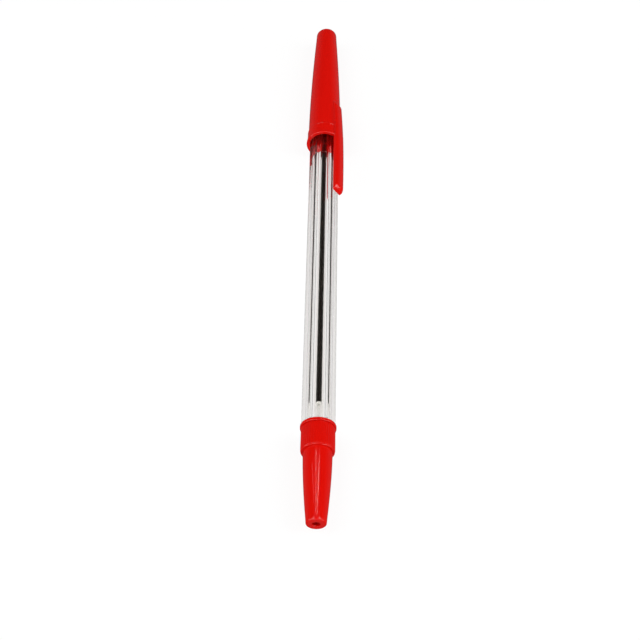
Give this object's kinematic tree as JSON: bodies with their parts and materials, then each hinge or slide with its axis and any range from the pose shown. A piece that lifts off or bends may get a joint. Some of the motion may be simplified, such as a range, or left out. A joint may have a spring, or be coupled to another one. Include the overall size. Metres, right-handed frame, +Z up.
{
  "type": "stick ballpoint pen",
  "caption": "Capped stick ballpoint pen: clear hexagonal barrel, tapered ribbed tail plug, clip cap, and a push-in nib section with ink refill and ball point.",
  "frame": {"origin": "centre of the tail plug's flat end face, on the pen's axis", "axes": "+Y along the pen from the tail towards the cap's crown and the writing point, +Z up with the pen lying down, a flat of the hexagon on top and the clip at 54 degrees from +Z towards +X"},
  "size_m": [0.0094, 0.1524, 0.009],
  "materials": {
    "clear_polystyrene": "polished clear moulding",
    "red_polypropylene": "glossy moulded",
    "milky_polypropylene": "translucent extruded",
    "black_ink": "wet oil-based paste",
    "clear_grease": "clear grease",
    "nickel_silver": "turned nickel silver",
    "carbide_steel": "ground tungsten carbide"
  },
  "bodies": {
    "barrel": {"barrel": "clear_polystyrene", "tail_plug": "red_polypropylene"},
    "writing_unit": {"nib_section": "red_polypropylene", "refill_tube": "milky_polypropylene", "ink_column": "black_ink", "grease_follower": "clear_grease", "writing_tip": "nickel_silver"},
    "ball": {"writing_ball": "carbide_steel"},
    "cap": {"cap": "red_polypropylene"}
  },
  "joints": [
    {"name": "section_pull", "type": "slide", "parent": "barrel", "child": "writing_unit", "axis": [0, 1, 0], "range_m": [0, 0.095]},
    {"name": "cap_pull", "type": "slide", "parent": "writing_unit", "child": "cap", "axis": [0, 1, 0], "range_m": [0, 0.045]},
    {"name": "ball_roll", "type": "hinge", "parent": "writing_unit", "child": "ball", "pos_m": [0, 0.1463, 0], "axis": [1, 0, 0], "continuous": true}
  ]
}
